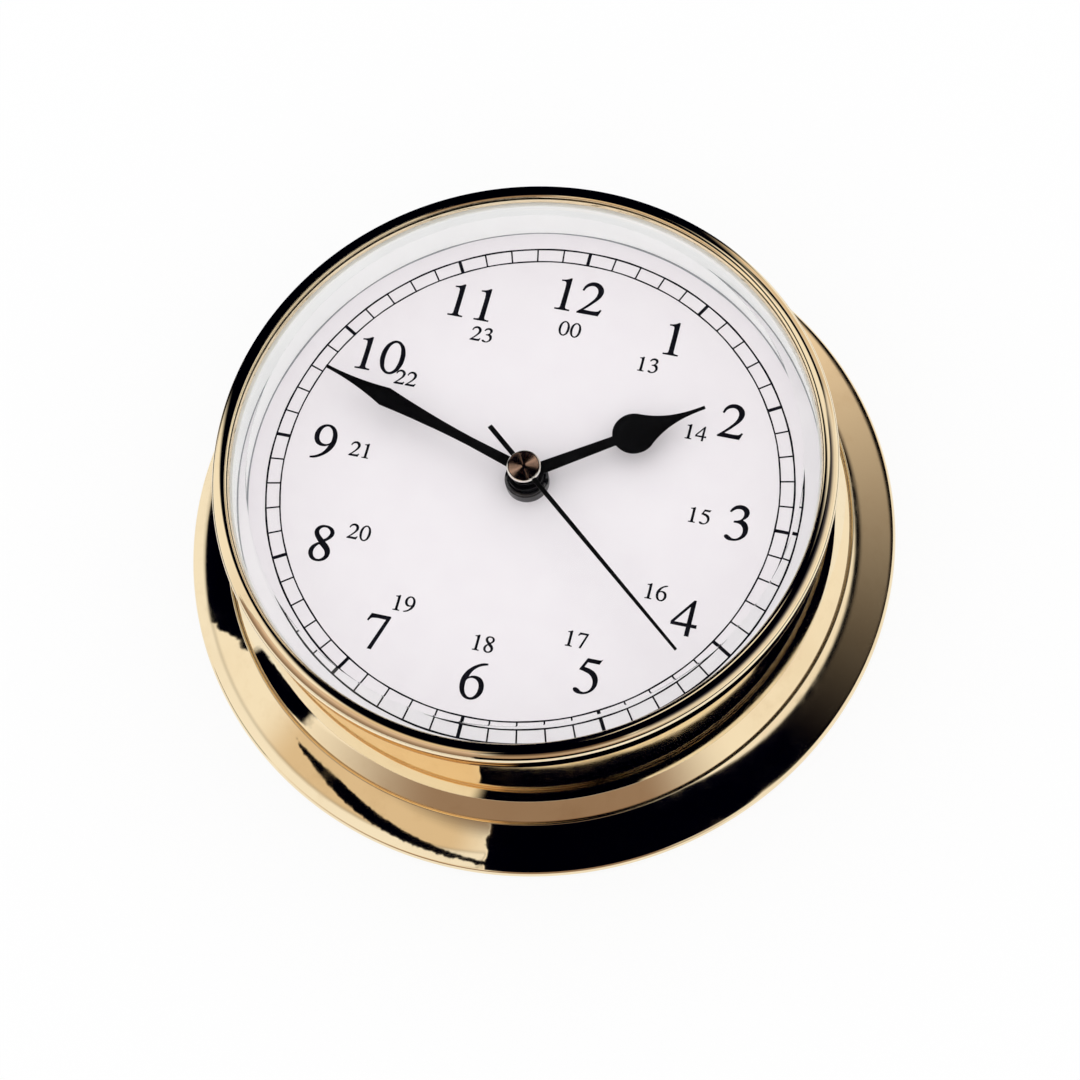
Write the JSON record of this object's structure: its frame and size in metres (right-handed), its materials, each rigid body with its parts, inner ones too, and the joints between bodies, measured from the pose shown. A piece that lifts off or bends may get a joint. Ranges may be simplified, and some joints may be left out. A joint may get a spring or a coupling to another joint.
{
  "type": "marine clock",
  "caption": "Round brass marine bulkhead clock with a flared base, screw-on bezel, bevelled glass, white twelve and twenty-four hour dial, black hands and a quartz movement.",
  "frame": {"origin": "centre of the back face of the flared base, where the clock meets the bulkhead or table", "axes": "+Z along the clock axis out of the dial, +Y towards 12 o'clock, +X towards 3 o'clock"},
  "size_m": [0.1524, 0.1524, 0.0405],
  "materials": {
    "polished_brass": "mirror polished and lacquered",
    "clear_glass": "clear, bevelled edge",
    "white_silicone": "soft matt",
    "white_plastic": "satin",
    "dial_white": "satin enamel with printed figures",
    "black_rubber": "matt",
    "black_metal": "semi-gloss black",
    "hand_black": "semi-gloss black lacquer",
    "black_plastic": "moulded, fine grain",
    "gear_plastic": "natural acetal",
    "magnet_grey": "sintered",
    "bright_steel": "nickel plated",
    "copper_wire": "enamelled wire",
    "board_green": "solder mask",
    "cell_jacket": "printed shrink sleeve"
  },
  "bodies": {
    "case": {"case": "polished_brass", "mounting_ring": "polished_brass", "spacer_ring": "white_plastic", "dial": "dial_white", "dial_washer": "black_rubber", "stem_nut": "black_metal", "front_shell": "black_plastic", "rear_shell": "black_plastic", "train_bridge": "gear_plastic", "stator": "bright_steel", "coil_core": "bright_steel", "coil_bobbin": "white_plastic", "coil_winding": "copper_wire", "circuit_board": "board_green", "control_chip": "black_plastic", "quartz_crystal": "bright_steel", "battery": "cell_jacket", "plus_contact": "bright_steel", "minus_contact": "bright_steel"},
    "glass": {"glass": "clear_glass", "gasket": "white_silicone"},
    "bezel": {"bezel": "polished_brass"},
    "hour": {"hour_hand": "hand_black", "hour_bush": "black_metal", "hour_wheel": "gear_plastic"},
    "minute": {"minute_hand": "hand_black", "minute_bush": "black_metal", "minute_arbor": "gear_plastic"},
    "second": {"second_hand": "hand_black", "second_bush": "black_metal", "second_cap": "polished_brass", "second_wheel": "gear_plastic"},
    "rotor": {"rotor_pinion": "gear_plastic", "rotor_magnet": "magnet_grey"},
    "intermediate": {"intermediate_wheel": "gear_plastic"},
    "third": {"third_wheel": "gear_plastic"},
    "centre": {"centre_wheel": "gear_plastic"},
    "motion": {"motion_wheel": "gear_plastic"},
    "knob": {"setting_knob": "black_plastic"}
  },
  "joints": [
    {"name": "glass_lift", "type": "slide", "parent": "case", "child": "glass", "axis": [0, 0, 1], "range_m": [0, 0.003]},
    {"name": "bezel_unscrew", "type": "hinge", "parent": "glass", "child": "bezel", "pos_m": [0, 0, 0.0375], "axis": [0, 0, 1], "range_deg": [0, 1080]},
    {"name": "minute_spin", "type": "hinge", "parent": "case", "child": "minute", "pos_m": [0, 0, 0.02], "axis": [0, 0, -1], "continuous": true},
    {"name": "hour_spin", "type": "hinge", "parent": "case", "child": "hour", "pos_m": [0, 0, 0.022], "axis": [0, 0, -1], "continuous": true},
    {"name": "motion_spin", "type": "hinge", "parent": "case", "child": "motion", "pos_m": [0.00831, 0.0048, 0.021], "axis": [0, 0, -1], "continuous": true},
    {"name": "setting_spin", "type": "hinge", "parent": "case", "child": "knob", "pos_m": [0.01733, 0.00152, 0.01], "axis": [0, 0, -1], "continuous": true},
    {"name": "second_spin", "type": "hinge", "parent": "case", "child": "second", "pos_m": [0, 0, 0.014], "axis": [0, 0, -1], "continuous": true},
    {"name": "intermediate_spin", "type": "hinge", "parent": "case", "child": "intermediate", "pos_m": [-0.00144, 0.00815, 0.013], "axis": [0, 0, -1], "continuous": true},
    {"name": "rotor_spin", "type": "hinge", "parent": "case", "child": "rotor", "pos_m": [-0.00431, 0.01605, 0.013], "axis": [0, 0, -1], "continuous": true},
    {"name": "third_spin", "type": "hinge", "parent": "case", "child": "third", "pos_m": [-0.01005, 0.00177, 0.018], "axis": [0, 0, -1], "continuous": true},
    {"name": "centre_spin", "type": "hinge", "parent": "case", "child": "centre", "pos_m": [0, 0, 0.019], "axis": [0, 0, -1], "continuous": true}
  ],
  "couplings": [
    {"joint": "glass_lift", "follows": "bezel_unscrew", "m_per_rad": 0.00015915},
    {"joint": "hour_spin", "follows": "minute_spin", "ratio": 0.083333},
    {"joint": "motion_spin", "follows": "minute_spin", "ratio": -0.33333},
    {"joint": "setting_spin", "follows": "minute_spin", "ratio": 1},
    {"joint": "intermediate_spin", "follows": "second_spin", "ratio": -5},
    {"joint": "rotor_spin", "follows": "second_spin", "ratio": 30},
    {"joint": "third_spin", "follows": "second_spin", "ratio": -0.13333},
    {"joint": "centre_spin", "follows": "second_spin", "ratio": 0.016667}
  ]
}
